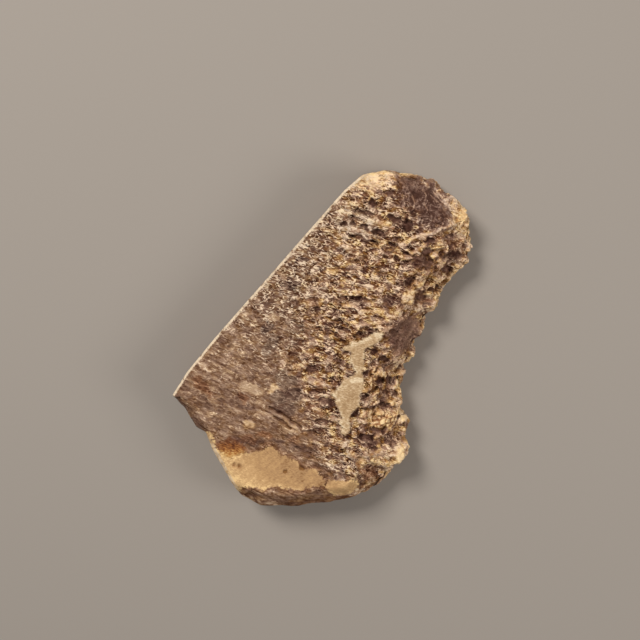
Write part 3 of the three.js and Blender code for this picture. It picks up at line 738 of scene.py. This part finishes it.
# struts of the sponge: thin wavy walls round long pockets
longWave, shortWave = (np.abs(streaks(wave, drift)) for wave in ("longWave", "shortWave"))
strut = strongest(unit(1 - 6.0 * longWave), 0.5 * unit(1 - 5.0 * shortWave))
strut *= noLess(0.5, blend(-0.35, 0.25, layer("strutShare")))
poreDepth = blend(-0.35, 0.45, layer("poreDepth"))
pocket = blend(0.08, 0.34, longWave) * noLess(0.45, blend(0.02, 0.3, shortWave))
pocket *= noLess(0.5, poreDepth) * (1 - blend(0.1, 0.5, flake))
print("tissue zones and sponge struts laid out")

# fragments of the tissue, and the larger grains of the broken flank
fragments = stretched(drift, tissue["poreTurn"], *tissue["fragmentSize"])
_, seamGap, fragmentChance, fragmentHue = cellsAt(fragments, 51.0)
seam = 1 - blend(0.03, 0.24, seamGap)
grainNear, grainGap, grainChance, _ = cellsAt(bent("grains") / tissue["grainSize"], 31.0)
grainDome = 1 - unit(grainNear / 0.72) ** 2
gapDark = (1 - blend(0.04, 0.3, grainGap)) * strongest(blend(-0.5, 0.2, layer("grainGaps")), goldenCover)
clusters = 1.5 * layer("clusters") + 0.5 * golden - 0.5 * dusky
grainPale = strongest(blend(0.3, 0.9, 0.25 + 0.6 * grainChance + clusters), blend(0.2, 0.6, flake))
grainPale *= 1 - blend(0.2, 0.6, hollow)
grit = layer("grit")
strand = unit(1 - 4.0 * np.abs(streaks("strands", bent("strands"))))
hair = strongest(*(nearLine(bent("hairs"), line, 0.02, 0.12) for line in tissue["hairs"])) * shown
sawStreak = streaks("sawStreak", bent("sawMarks"))
mottle = streaks("mottle", drift)
patch = layer("patch") + 0.6 * layer("smallPatch")
# grooves, sunk into the relief and painted darker as shade in the crease
groove = strongest(*(nearLine(ragged, line, 0.1, 0.3) for line in tissue["grooves"])) * face
pitGaps = [np.hypot(*(drifted[:, :2] - spot).T) for spot in tissue["matrixPits"]]
pits = strongest(*(unit(1 - gap / tissue["pitReach"]) for gap in pitGaps)) * face
# the pale arris: a worn rim and a painted highlight where the chamfer faces the light
rimWearAndHighlight = skin.onArris * blend(0.0, 0.5, 0.5 - skin.raw)

# millimetres that each form stands out of the skin, or sinks into the face
reliefForm = {
    "raised": {
        "lumps": 0.7,
        "grit": 0.06,
        "flakes": 0.25,
        "grainDomes": 0.24,
        "grainSteps": 0.3,
        "rimChips": -0.25,
    },
    "sunken": {
        "pockets": 0.42,
        "betweenStruts": 0.08,
        "fragments": 0.04,
        "belowFlakes": 0.14,
        "hollows": 0.6,
        "grooves": 0.3,
        "matrixPits": 0.3,
        "betweenStrands": 0.10,
        "fibreBed": 0.2,
        "mottle": 0.05,
        "sawStreaks": 0.03,
        "faceGrit": 0.015,
    },
}


def weighed(amounts, shares):
    return sum(amount * shares[name] for name, amount in amounts.items())


rawGrains = broken * blend(0.3, 0.9, skin.raw) * (1 - filled)
push = weighed(reliefForm["raised"], {
    "lumps": broken * (layer("lumps") + 0.45 * layer("smallLumps")),
    "grit": broken * grit,
    "flakes": broken * flake,
    "grainDomes": rawGrains * grainDome * noLess(0.4, grainPale),
    "grainSteps": rawGrains * (grainPale - 0.8),
    "rimChips": rimWearAndHighlight * blend(0.1, 0.6, layer("chips")),
})
for x, y, reach, rise in tissue["lumps"]:
    gap = np.hypot(alongSaw - x, acrossSaw - y) / reach
    push += unit(1 - gap * gap) * rise * (1 - skin.flat) * upper
openBone = openFace * (1 - fibres)
drop = weighed(reliefForm["sunken"], {
    "pockets": openBone * pocket,
    "betweenStruts": openBone * (1 - strut),
    "fragments": openBone * (1 - fragmentChance),
    "belowFlakes": openFace * (1 - strongest(flake, paintedLipHighlight)),
    "hollows": hollow,
    "grooves": groove,
    "matrixPits": pits,
    "betweenStrands": fibres * face * (1 - strand),
    "fibreBed": fibres * face * poreDepth,
    "mottle": dense * blend(-0.1, 0.45, -mottle),
    "sawStreaks": dense * blend(0.0, 0.5, -sawStreak),
    "faceGrit": face * unit(grit + 0.3),
})
carved = points + normals * push[:, None]
carved[:, 2] -= drop
carved[:, :2] += sliceForm["offset"]
carved = np.clip(carved * mm, np.array(cadLow), np.array(cadHigh))
boneSlice.vertices.foreach_set("co", carved.ravel())
boneSlice.update()
print("relief carved")

# how far each tissue covers what is under it, and its lightness: a base and what its parts add
tissueLight = {
    "dense": (1.0, {
        "base": 0.56, "fragment": 0.12, "mottle": 0.08, "seam": -0.06, "patch": 0.11,
        "sawStreak": 0.07, "lamellae": 0.15,
    }),
    # the sponge: darker in its pockets, from dark tissue and painted shade in the recesses
    "sponge": (1.0, {
        "base": 0.55, "fragment": 0.10, "strut": 0.36, "seam": -0.04, "pocket": -0.32, "patch": 0.16,
    }),
    # the flank: pale grains lighter at their domed middles, a painted highlight on each grain's top
    "flank": (1.0, {
        "base": 0.55, "grainPale": 0.24, "grain": 0.12, "fragment": 0.14, "patch": 0.12,
        "paleDome": 0.12, "grainGap": -0.24,
    }),
    # fibrous tissue: pale strands over a dark bed, the dark partly a painted cast shadow
    "fibres": (1.0, {"base": 0.23, "strand": 0.40}),
    "hairs": (0.6, {"base": 0.82}),
    "darkBreak": (0.85, {"base": 0.34, "strand": 0.2}),
    "blotches": (0.9, {"base": 0.76, "patch": 0.06}),
    # the sandy crown: sand colour and a painted highlight on the bevel facing the light
    "sandAndLitCrown": (0.9, {"base": 1.05, "patch": 0.2, "fragment": 0.2}),
    # the golden rim: golden mineral and a painted rim highlight
    "goldAndLitRim": (0.75, {"base": 0.96, "fragment": 0.3}),
    "flakes": (0.8, {"base": 0.92, "onFlank": 0.02}),
    # painted highlight on the far lip of each hollow
    "paintedLipHighlights": (0.45, {"base": 0.80}),
    # golden grains also lighter at their domed middles, a painted highlight
    "golden": (0.8, {
        "base": 0.98, "grain": 0.24, "grainDome": 0.10, "grainGap": -0.55, "fragment": 0.1,
    }),
    # hollows: dark tissue and painted shade in the recesses
    "hollows": (0.8, {"base": 0.20, "patch": 0.15}),
    "matrix": (1.0, {
        "base": 0.40, "scratch": 0.13, "patch": 0.18, "lowEnd": 0.44, "besideBone": -0.10,
        "lowSide": 0.34, "matrixEdge": 0.5,
    }),
    "vein": (1.0, {"base": 0.28, "veinEdge": 0.3, "patch": 0.2, "mottle": 0.15, "veinGlow": 0.4}),
    "stain": (1.0, {"base": 0.55, "towardsLight": -0.4, "patch": 0.5}),
}
# what lightens or darkens the bone as a whole
boneTints = {
    "pale": 0.17, "dusky": -0.12, "russet": -0.08, "halo": -0.06, "golden": 0.06, "lowerBand": -0.05,
}
# drifts of colour through the bone, each as strong as the strongest of its causes
hueCauses = {
    "gold": {
        "warmDrift": 1.0, "flaked": 0.8, "golden": 1.0, "sandAndLitCrown": 0.55, "goldAndLitRim": 0.8,
        "blotch": 0.6, "paleGrains": 0.40,
    },
    "mauve": {"coolDrift": 1.0, "dusky": 0.9, "hollowShadeAndTone": 1.0, "dark": 0.9, "openPocket": 0.6},
    "grey": {"grey": 0.75, "greyEnd": 0.35, "blotch": 0.55, "denseFace": 0.35},
    "russet": {"russet": 0.7, "openPocket": 0.15, "redDrift": 0.55, "lowerBand": 0.5, "goldGaps": 0.8},
}
# how much calmer some tissues make the fine grain
calmness = {"hollowShadeAndTone": 0.5, "blotch": 0.35, "fibrous": 0.4, "flakeCover": 0.4, "onFlank": 0.25}
warmth = layer("warmth") + 0.6 * layer("fineWarmth") + 0.35 * (fragmentHue - 0.5)
redness = layer("redness") + 0.5 * layer("fineRedness")
rich = strongest(sponge, onFlank)
fibrous = strongest(fibres, dark)
parts = {
    "base": 1.0,
    "fragment": fragmentChance - 0.5,
    "mottle": mottle,
    "seam": seam,
    "patch": patch,
    "sawStreak": sawStreak,
    "lamellae": lamella * sawStreak,
    "strut": strut,
    "pocket": pocket,
    "grain": grainChance - 0.5,
    "grainPale": grainPale,
    "grainDome": grainDome,
    "paleDome": grainDome * grainPale,
    "grainGap": gapDark,
    "onFlank": onFlank,
    "strand": strand * blend(-0.4, 0.3, patch),
    "scratch": streaks("scratch", points),
    "lowEnd": alongBand("matrixLowEnd"),
    "besideBone": alongBand("matrixBesideBone"),
    "lowSide": acrossBand("matrixLowSide"),
    "matrixEdge": (1 - zone("matrixHeart", drifted)) * blend(-0.3, 0.4, layer("matrixEdge")),
    "veinEdge": (1 - zone("veinHeart", ragged)) * blend(-0.3, 0.3, layer("veinEdge")),
    "veinGlow": ovals(ragged, "veinGlow"),
    "towardsLight": (points - (*tissue["stainHeart"], 0)) @ litFrom,
    "pale": pale,
    "dusky": dusky,
    "russet": russet,
    "halo": halo,
    "golden": golden,
    "lowerBand": lowerBand,
    "warmDrift": blend(-0.05, 0.3, warmth) * (0.25 + 0.7 * rich),
    "coolDrift": blend(0.05, -0.3, warmth) * (0.4 + 0.55 * rich),
    "redDrift": blend(0.05, 0.5, redness) * rich,
    "flaked": unit(1.2 * flake) * strongest(0.6 * blend(-0.2, 0.2, warmth), onFlank),
    "flakeCover": flakeCover,
    "sandAndLitCrown": sandAndLitCrown,
    "goldAndLitRim": goldAndLitRim,
    "blotch": blotch,
    "paleGrains": onFlank * grainPale,
    "goldGaps": gapDark * golden * onFlank,
    "hollowShadeAndTone": hollowShadeAndTone,
    "dark": dark,
    "fibrous": fibrous,
    "openPocket": pocket * openFace,
    "grey": grey,
    "greyEnd": alongBand("greyEnd") * shown,
    "denseFace": face * (1 - sponge),
}


def cover(tone, name, mask):
    share, amounts = tissueLight[name]
    return tone + (weighed(amounts, parts) - tone) * share * mask


# lightness of the bone, from the bottom of a pore to the crest of a strut
boneLight = cover(level, "dense", 1.0)
for name, mask in (("sponge", sponge * face), ("flank", onFlank), ("fibres", fibres), ("hairs", hair)):
    boneLight = cover(boneLight, name, mask)
boneLight = cover(boneLight + weighed(boneTints, parts), "darkBreak", dark)
# painted highlight: the broken flank lighter near its rim, where side light catches it
boneLight += 0.14 * onFlank * blend(0.5, 0.0, skin.flat) * (1 - lowerBand)
coverings = {
    "blotches": blotch,
    "sandAndLitCrown": sandAndLitCrown,
    "goldAndLitRim": goldAndLitRim,
    "flakes": flakeCover * (1 - 0.1 * onFlank),
    "paintedLipHighlights": paintedLipHighlight,
    "golden": goldenCover * onFlank,
}
for name, mask in coverings.items():
    boneLight = cover(boneLight, name, mask)
boneLight += 0.3 * unit(flake - 1)
# hollows darkened by dark tissue and painted shade, grooves by painted shade in the crease
boneLight = cover(boneLight, "hollows", hollowShadeAndTone * (1 - 0.35 * onFlank)) - 0.34 * groove - 0.3 * pits
fillLight = cover(cover(level, "matrix", 1.0), "vein", vein) - 0.9 * pits

hues = {}
for hue, causes in hueCauses.items():
    hues[hue] = strongest(*(amount * parts[cause] for cause, amount in causes.items()))
hues["gold"] *= 1 - fibrous
hues["mauve"] *= 1 - strongest(sandAndLitCrown, goldAndLitRim, goldenCover, blotch)
hues["russet"] *= (1 - hollowShadeAndTone) * (1 - dark)
hues["fibres"] = fibres * (1 - 0.6 * hair)
coarseness = 0.47 + 0.42 * strongest(sponge * face, alongBand("coarseGrain")) - 0.28 * lowerBand
for name, amount in calmness.items():
    coarseness *= 1 - amount * parts[name]

tissueTones = {
    **hues,
    "boneTone": boneLight,
    "fillTone": fillLight,
    "stainTone": cover(level, "stain", 1.0),
    "coarse": coarseness,
    "lamellar": lamella * (1 - sponge) * (1 - blotch),
    "matrix": matrix,
    "vein": vein,
    "stain": stain,
    "blotch": blotch,
    "worn": rimWearAndHighlight,
}
for name, values in tissueTones.items():
    boneSlice.attributes.new(name, "FLOAT", "POINT").data.foreach_set("value", values)
bakeMap = boneSlice.uv_layers.new(name="OFBake")
bakeMap.data.foreach_set("uv", skin.map.ravel())
boneSlice.shade_smooth()
stone = placed("bone_slice_stone", boneSlice)
print("tissue tones written")


class Wire:
    def __init__(self, finish, socket):
        self.finish = finish
        self.socket = socket

    def math(self, operation, first, second=0.0):
        return self.finish.add("Math", {"operation": operation}, {0: first, 1: second})

    def __add__(self, other):
        return self.math("ADD", self, other)

    def __sub__(self, other):
        return self.math("SUBTRACT", self, other)

    def __mul__(self, other):
        return self.math("MULTIPLY", self, other)

    def __rsub__(self, other):
        return self.math("SUBTRACT", other, self)

    __radd__ = __add__
    __rmul__ = __mul__

    def magnitude(self):
        return self.math("ABSOLUTE", self)

    def clip(self):
        return self.finish.add("Clamp", None, {"Value": self})

    def span(self, low, high):
        settings = {"interpolation_type": "SMOOTHSTEP"}
        return self.finish.add("MapRange", settings, {"Value": self, "From Min": low, "From Max": high})


class Finish:
    def __init__(self, name):
        self.material = bpy.data.materials.new(name)
        self.material.use_nodes = True
        self.tree = self.material.node_tree
        self.surface = self.tree.nodes["Principled BSDF"]

    def add(self, kind, settings=None, sockets=None, out=0):
        node = self.tree.nodes.new("ShaderNode" + kind)
        for key, value in (settings or {}).items():
            if key == "stops":
                self.fillRamp(node.color_ramp, value)
            else:
                setattr(node, key, value)
        for key, value in (sockets or {}).items():
            self.plug(node.inputs[key], value)
        return Wire(self, node.outputs[out])

    def plug(self, socket, value):
        if isinstance(value, Wire):
            self.tree.links.new(value.socket, socket)
        else:
            socket.default_value = value

    def fillRamp(self, ramp, stops):
        while len(ramp.elements) < len(stops):
            ramp.elements.new(1.0)
        for element, (place, colour) in zip(ramp.elements, stops):
            element.position = place
            element.color = (*colour, 1)

    def ramp(self, name, tone):
        return self.add("ValToRGB", {"stops": boneFinish[name + "Stops"]}, {"Fac": tone})

    def tone(self, name):
        return self.add("Attribute", {"attribute_name": name}, out=2)

    def mix(self, factor, first, second):
        colours = [value if isinstance(value, Wire) else (*value, 1) for value in (first, second)]
        return self.add("Mix", {"data_type": "RGBA"}, {0: factor, 6: colours[0], 7: colours[1]}, 2)


boneFinish = {
    "boneStops": [
        (0.0, (0.046, 0.013, 0.004)),
        (0.2, (0.088, 0.030, 0.009)),
        (0.4, (0.166, 0.075, 0.035)),
        (0.55, (0.254, 0.137, 0.079)),
        (0.7, (0.371, 0.221, 0.137)),
        (0.85, (0.610, 0.392, 0.248)),
        (1.0, (0.860, 0.645, 0.445)),
    ],
    "goldStops": [
        (0.0, (0.046, 0.014, 0.003)),
        (0.4, (0.200, 0.084, 0.022)),
        (0.7, (0.440, 0.240, 0.090)),
        (0.85, (0.680, 0.418, 0.178)),
        (1.0, (0.920, 0.680, 0.360)),
    ],
    "mauveStops": [
        (0.0, (0.039, 0.015, 0.012)),
        (0.2, (0.078, 0.035, 0.025)),
        (0.4, (0.150, 0.079, 0.057)),
        (0.7, (0.355, 0.216, 0.150)),
        (0.85, (0.600, 0.388, 0.258)),
        (1.0, (0.840, 0.635, 0.450)),
    ],
    # colours of the fibrous tissue, its darks partly a painted cast shadow
    "fibresStops": [
        (0.0, (0.040, 0.018, 0.013)),
        (0.25, (0.080, 0.039, 0.028)),
        (0.4, (0.138, 0.076, 0.057)),
        (0.65, (0.300, 0.193, 0.146)),
        (1.0, (0.720, 0.560, 0.430)),
    ],
    "greyStops": [
        (0.0, (0.040, 0.022, 0.016)),
        (0.4, (0.150, 0.092, 0.064)),
        (0.7, (0.330, 0.232, 0.165)),
        (1.0, (0.780, 0.660, 0.530)),
    ],
    "russetStops": [
        (0.0, (0.044, 0.012, 0.005)),
        (0.4, (0.180, 0.070, 0.030)),
        (0.7, (0.400, 0.195, 0.095)),
        (1.0, (0.800, 0.560, 0.360)),
    ],
    "matrixStops": [
        (0.0, (0.230, 0.110, 0.040)),
        (0.25, (0.400, 0.234, 0.115)),
        (0.5, (0.485, 0.289, 0.134)),
        (0.75, (0.590, 0.370, 0.180)),
        (1.0, (0.820, 0.560, 0.270)),
    ],
    "veinStops": [
        (0.0, (0.360, 0.225, 0.115)),
        (0.35, (0.505, 0.340, 0.190)),
        (1.0, (0.850, 0.700, 0.480)),
    ],
    "stainStops": [
        (0.0, (0.100, 0.030, 0.014)),
        (0.35, (0.230, 0.080, 0.026)),
        (0.65, (0.440, 0.185, 0.050)),
        (1.0, (0.640, 0.390, 0.150)),
    ],
    # pale arris colour: wear and a painted highlight
    "worn": (0.80, 0.64, 0.46),
    "roughness": 0.62,
    "roughnessSwing": 0.4,
    "shine": 0.0,
    "crestSharpness": 13.0,
    # size in millimetres, detail, roughness, twist, and the turn and length of what is drawn out
    "grains": {
        "laminae": (0.22, 2.0, 0.5, 0.0, "sawTurn", 7.0),
        "specks": (0.16, 2.0, 0.5, 0.0, "poreTurn", 2.3),
        "scores": (0.16, 2.0, 0.5, 0.0, "scoreTurn", 3.0),
        "worms": (0.46, 1.5, 0.5, 1.1, "poreTurn", 2.3),
        "clouds": (2.4, 3.0, 0.6, 0.0),
        "tint": (0.9, 2.0, 0.6, 0.0),
    },
    "flecks": {"size": 0.3, "length": 2.3, "bend": 0.5, "bendScale": 2.2},
    # how far the grains move the lightness
    "boneGrain": {
        "specks": 0.8, "crumbs": 0.28, "crest": 0.9, "crestMean": 0.28, "dip": 0.2, "dipMean": 0.45,
        "clouds": 0.16, "laminae": 0.45,
    },
    "fillGrain": {
        "specks": 0.9, "veinSpecks": 0.7, "tint": 0.5, "scores": 0.45, "stain": 0.9, "stainSpecks": 1.8,
    },
    # shares of the grains, then how much smoother the fillings are; depth in millimetres
    "bump": {
        "crest": 0.6, "crumbs": 0.5, "specks": 0.5, "filling": 0.75, "blotch": 0.6,
        "strength": 0.9, "depth": 0.14,
    },
}
stoneFinish = Finish("fossilBone")
objectSpot = stoneFinish.add("TexCoord", out=3)
inMm = stoneFinish.add("VectorMath", {"operation": "SCALE"}, {0: objectSpot, "Scale": 1 / mm})
tones = {name: stoneFinish.tone(name) for name in tissueTones}


def drawnOut(turn, length):
    sockets = {"Vector": inMm, "Rotation": (0, 0, math.radians(tissue[turn])), "Scale": (length, 1, 1)}
    return stoneFinish.add("Mapping", {"vector_type": "TEXTURE"}, sockets)


def grainNoise(size, detail, roughness, twist, turn=None, length=1.0):
    vector = drawnOut(turn, length) if turn else inMm
    sockets = {"Vector": vector, "Scale": 1 / size, "Detail": detail, "Roughness": roughness}
    return stoneFinish.add("TexNoise", None, {**sockets, "Distortion": twist})


grains = {name: grainNoise(*form) for name, form in boneFinish["grains"].items()}
swing = {name: grain - 0.5 for name, grain in grains.items()}
offCrest = swing["worms"].magnitude()
crest = 1 - (offCrest * boneFinish["crestSharpness"]).clip()
dip = offCrest.span(0.05, 0.16)

# flecks of the tissue, each with its own lightness and hue
fleckForm = boneFinish["flecks"]
bendSockets = {"Vector": inMm, "Scale": fleckForm["bendScale"], "Detail": 2.0}
fleckBend = stoneFinish.add("TexNoise", None, bendSockets, 1)
bentSockets = {0: fleckBend, 1: [fleckForm["bend"]] * 3, 2: drawnOut("poreTurn", fleckForm["length"])}
fleckSpot = stoneFinish.add("VectorMath", {"operation": "MULTIPLY_ADD"}, bentSockets)
fleck = stoneFinish.add("TexVoronoi", None, {"Vector": fleckSpot, "Scale": 1 / fleckForm["size"]}, 1)
crumbs, fleckHue = (stoneFinish.add("SeparateColor", None, {"Color": fleck}, out) for out in (0, 1))

# the bone: its lightness through one ramp, and each hue's own ramp mixed over it
amount = boneFinish["boneGrain"]
lively = grains["tint"].span(0.36, 0.64) + 0.5
fretted = (crest - amount["crestMean"]) * amount["crest"] - (dip - amount["dipMean"]) * amount["dip"]
detail = swing["specks"] * amount["specks"] + (crumbs - 0.5) * amount["crumbs"] + fretted * tones["coarse"]
boneTone = tones["boneTone"] + swing["clouds"] * amount["clouds"] + detail * lively * tones["coarse"]
boneTone = boneTone + swing["laminae"] * amount["laminae"] * tones["lamellar"]
boneColour = stoneFinish.ramp("bone", boneTone)
hueSwing = (fleckHue - 0.5) * tones["coarse"]
hueShares = {hue: tones[hue] for hue in ("gold", "mauve", "grey", "russet", "fibres")}
hueShares["gold"] = hueShares["gold"] + hueSwing
hueShares["mauve"] = hueShares["mauve"] - hueSwing
for hue, share in hueShares.items():
    boneColour = stoneFinish.mix(share, boneColour, stoneFinish.ramp(hue, boneTone))

# the rust stain, the sandy matrix and the pale vein over the bone, and over all the pale arris: a worn rim
# and a painted highlight where the chamfer faces the light
amount = boneFinish["fillGrain"]
stainTone = tones["stainTone"] + swing["specks"] * amount["stainSpecks"]
rust = stoneFinish.ramp("stain", stainTone)
boneColour = stoneFinish.mix(tones["stain"] * amount["stain"], boneColour, rust)
speckle = tones["vein"] * amount["veinSpecks"] + amount["specks"]
fillTone = tones["fillTone"] + swing["specks"] * speckle + swing["tint"] * amount["tint"]
fillTone = fillTone + swing["scores"] * amount["scores"]
for fill in ("matrix", "vein"):
    boneColour = stoneFinish.mix(tones[fill], boneColour, stoneFinish.ramp(fill, fillTone))
wornAndHighlightShare = tones["worn"] * grains["tint"].span(0.28, 0.48)
boneColour = stoneFinish.mix(wornAndHighlightShare, boneColour, boneFinish["worn"])

amount = boneFinish["bump"]
filling = (tones["matrix"] + tones["vein"] + tones["blotch"] * amount["blotch"]).clip()
relief = crest * amount["crest"] + crumbs * amount["crumbs"] + grains["specks"] * amount["specks"]
relief = relief * tones["coarse"] * (1 - filling * amount["filling"])
bumpSockets = {"Strength": amount["strength"], "Distance": amount["depth"] * mm, "Height": relief}
bump = stoneFinish.add("Bump", None, bumpSockets)
surface = stoneFinish.surface
surface.inputs["Specular IOR Level"].default_value = boneFinish["shine"]
stoneFinish.plug(surface.inputs["Base Color"], boneColour)
roughness = boneFinish["roughness"] + swing["specks"] * boneFinish["roughnessSwing"]
stoneFinish.plug(surface.inputs["Roughness"], roughness)
stoneFinish.plug(surface.inputs["Normal"], bump)
boneSlice.materials.append(stoneFinish.material)
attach(stone, "root")
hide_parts("bone_slice")
print("fossil bone finish built")

studio = {
    "floorSide": 6.0,
    "floorColour": (0.315, 0.28, 0.247),
    "floorRoughness": 0.9,
    "world": (1.0, 0.98, 0.96),
    "worldStrength": 0.28,
    # image right, image up and height in metres, size in metres, watts, colour
    "lamps": {
        "key": ((-0.14, 0.20, 0.28), 0.12, 1.12, (1.0, 0.97, 0.93)),
        "fill": ((0.28, -0.02, 0.22), 0.16, 0.52, (1.0, 0.97, 0.93)),
    },
}
photoView = {
    "target": (1.43, 6.44, 8.0),
    "imageRight": (0.6595, -0.7517),
    "imageUp": (0.7517, 0.6595),
    "lean": (0.418, 0.909),  # to image right and up
    "leanDegrees": 10,
    "distance": 141.1,
    "nearest": 5.0,  # what is closer isn't drawn
    "lens": 60.13,
}
imageRight = Vector((*photoView["imageRight"], 0))
imageUp = Vector((*photoView["imageUp"], 0))

floorMesh = bpy.data.meshes.new("floor")
half = studio["floorSide"] / 2
floorCorners = [(-half, -half, 0), (half, -half, 0), (half, half, 0), (-half, half, 0)]
floorMesh.from_pydata(floorCorners, [], [(0, 1, 2, 3)])
floor = placed("floor", floorMesh)
floorFinish = Finish("paleFloor")
floorFinish.plug(floorFinish.surface.inputs["Base Color"], (*studio["floorColour"], 1))
floorFinish.plug(floorFinish.surface.inputs["Roughness"], studio["floorRoughness"])
floorMesh.materials.append(floorFinish.material)

world = bpy.data.worlds.new("studio")
world.use_nodes = True
background = world.node_tree.nodes["Background"]
background.inputs["Color"].default_value = (*studio["world"], 1)
background.inputs["Strength"].default_value = studio["worldStrength"]
bpy.context.scene.world = world

for name, (spot, size, watts, colour) in studio["lamps"].items():
    lamp = bpy.data.lights.new(name, "AREA")
    lamp.size = size
    lamp.energy = watts
    lamp.color = colour
    holder = placed(name, lamp)
    holder.location = imageRight * spot[0] + imageUp * spot[1] + Vector((0, 0, spot[2]))
    holder.rotation_euler = holder.location.to_track_quat("Z", "Y").to_euler()

target = Vector(photoView["target"]) * mm
lean = (imageRight * photoView["lean"][0] + imageUp * photoView["lean"][1]).normalized()
tilt = math.radians(photoView["leanDegrees"])
away = lean * math.sin(tilt) + Vector((0, 0, math.cos(tilt)))
upright = (imageUp - away * imageUp.dot(away)).normalized()
aim = Matrix((upright.cross(away), upright, away)).transposed().to_4x4()
cameraData = bpy.data.cameras.new("photo_view")
cameraData.lens = photoView["lens"]
cameraData.clip_start = photoView["nearest"] * mm
camera = placed("photo_view", cameraData)
camera.matrix_world = Matrix.Translation(target + away * photoView["distance"] * mm) @ aim
bpy.context.scene.camera = camera
bpy.context.scene.view_settings.view_transform = "Standard"
print("studio, lamps and camera set")
